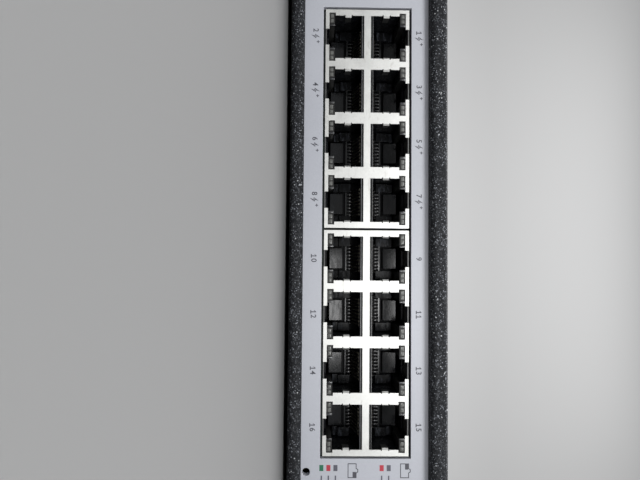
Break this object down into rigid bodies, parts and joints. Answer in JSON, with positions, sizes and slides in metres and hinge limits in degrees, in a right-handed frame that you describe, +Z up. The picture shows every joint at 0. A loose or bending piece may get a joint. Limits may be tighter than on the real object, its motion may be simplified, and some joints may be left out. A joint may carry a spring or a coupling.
{
  "type": "power over ethernet switch",
  "caption": "Desktop network switch in a folded black steel case with a recessed pale front panel, two rows of shielded sockets and a rear mains inlet; it joins cables and feeds power.",
  "frame": {"origin": "on the surface under the feet, below the middle of the part", "axes": "+X along the front to the right, +Y from the front panel to the rear, +Z up"},
  "size_m": [0.28, 0.1818, 0.044],
  "materials": {
    "case": "fine sand-textured black powder coat with a faint sparkle",
    "panel": "smooth satin light grey",
    "shield": "bright plated sheet",
    "housing": "fine matt black moulding",
    "contacts": "gold-flashed springs",
    "pipes": "frosted clear bars",
    "rubber": "matt black rubber",
    "screws": "plated pan heads",
    "board": "green solder mask",
    "post": "turned posts",
    "package": "dark moulded packages",
    "sink": "bare extruded and bent metal",
    "cans": "sleeved cans",
    "film": "clear insulating film",
    "inlet": "black moulding",
    "blades": "plated blades",
    "filter": "boxed film part",
    "ferrite": "dark ferrite",
    "winding": "taped copper winding",
    "lamps": "small clear lamps",
    "header": "natural moulded headers",
    "cable": "sleeved flat cable"
  },
  "bodies": {
    "root": {"base_pan": "case", "top_cover": "case", "front_panel": "panel", "rubber_feet": "rubber", "cover_screws": "screws", "indicator_leds": "lamps", "main_board": "board", "standoffs": "post", "lan_transformers": "package", "switch_chip": "package", "chip_heatsink": "sink", "poe_controllers": "package", "board_inductors": "ferrite", "capacitors": "cans", "supply_board": "board", "insulation_sheet": "film", "mains_inlet": "inlet", "inlet_pins": "blades", "fuse": "package", "filter_capacitor": "filter", "filter_choke": "ferrite", "rectifier": "package", "transformer_core": "ferrite", "transformer_winding": "winding", "supply_heatsinks": "sink", "power_devices": "package", "power_headers": "header", "power_cable": "cable", "jack_shield_left": "shield", "jack_housing_left": "housing", "light_pipes_left": "pipes", "jack_shield_right": "shield", "jack_housing_right": "housing", "light_pipes_right": "pipes", "contact_carrier_1": "housing", "port_contacts_1": "contacts", "contact_carrier_2": "housing", "port_contacts_2": "contacts", "contact_carrier_3": "housing", "port_contacts_3": "contacts", "contact_carrier_4": "housing", "port_contacts_4": "contacts", "contact_carrier_5": "housing", "port_contacts_5": "contacts", "contact_carrier_6": "housing", "port_contacts_6": "contacts", "contact_carrier_7": "housing", "port_contacts_7": "contacts", "contact_carrier_8": "housing", "port_contacts_8": "contacts"}
  },
  "joints": []
}
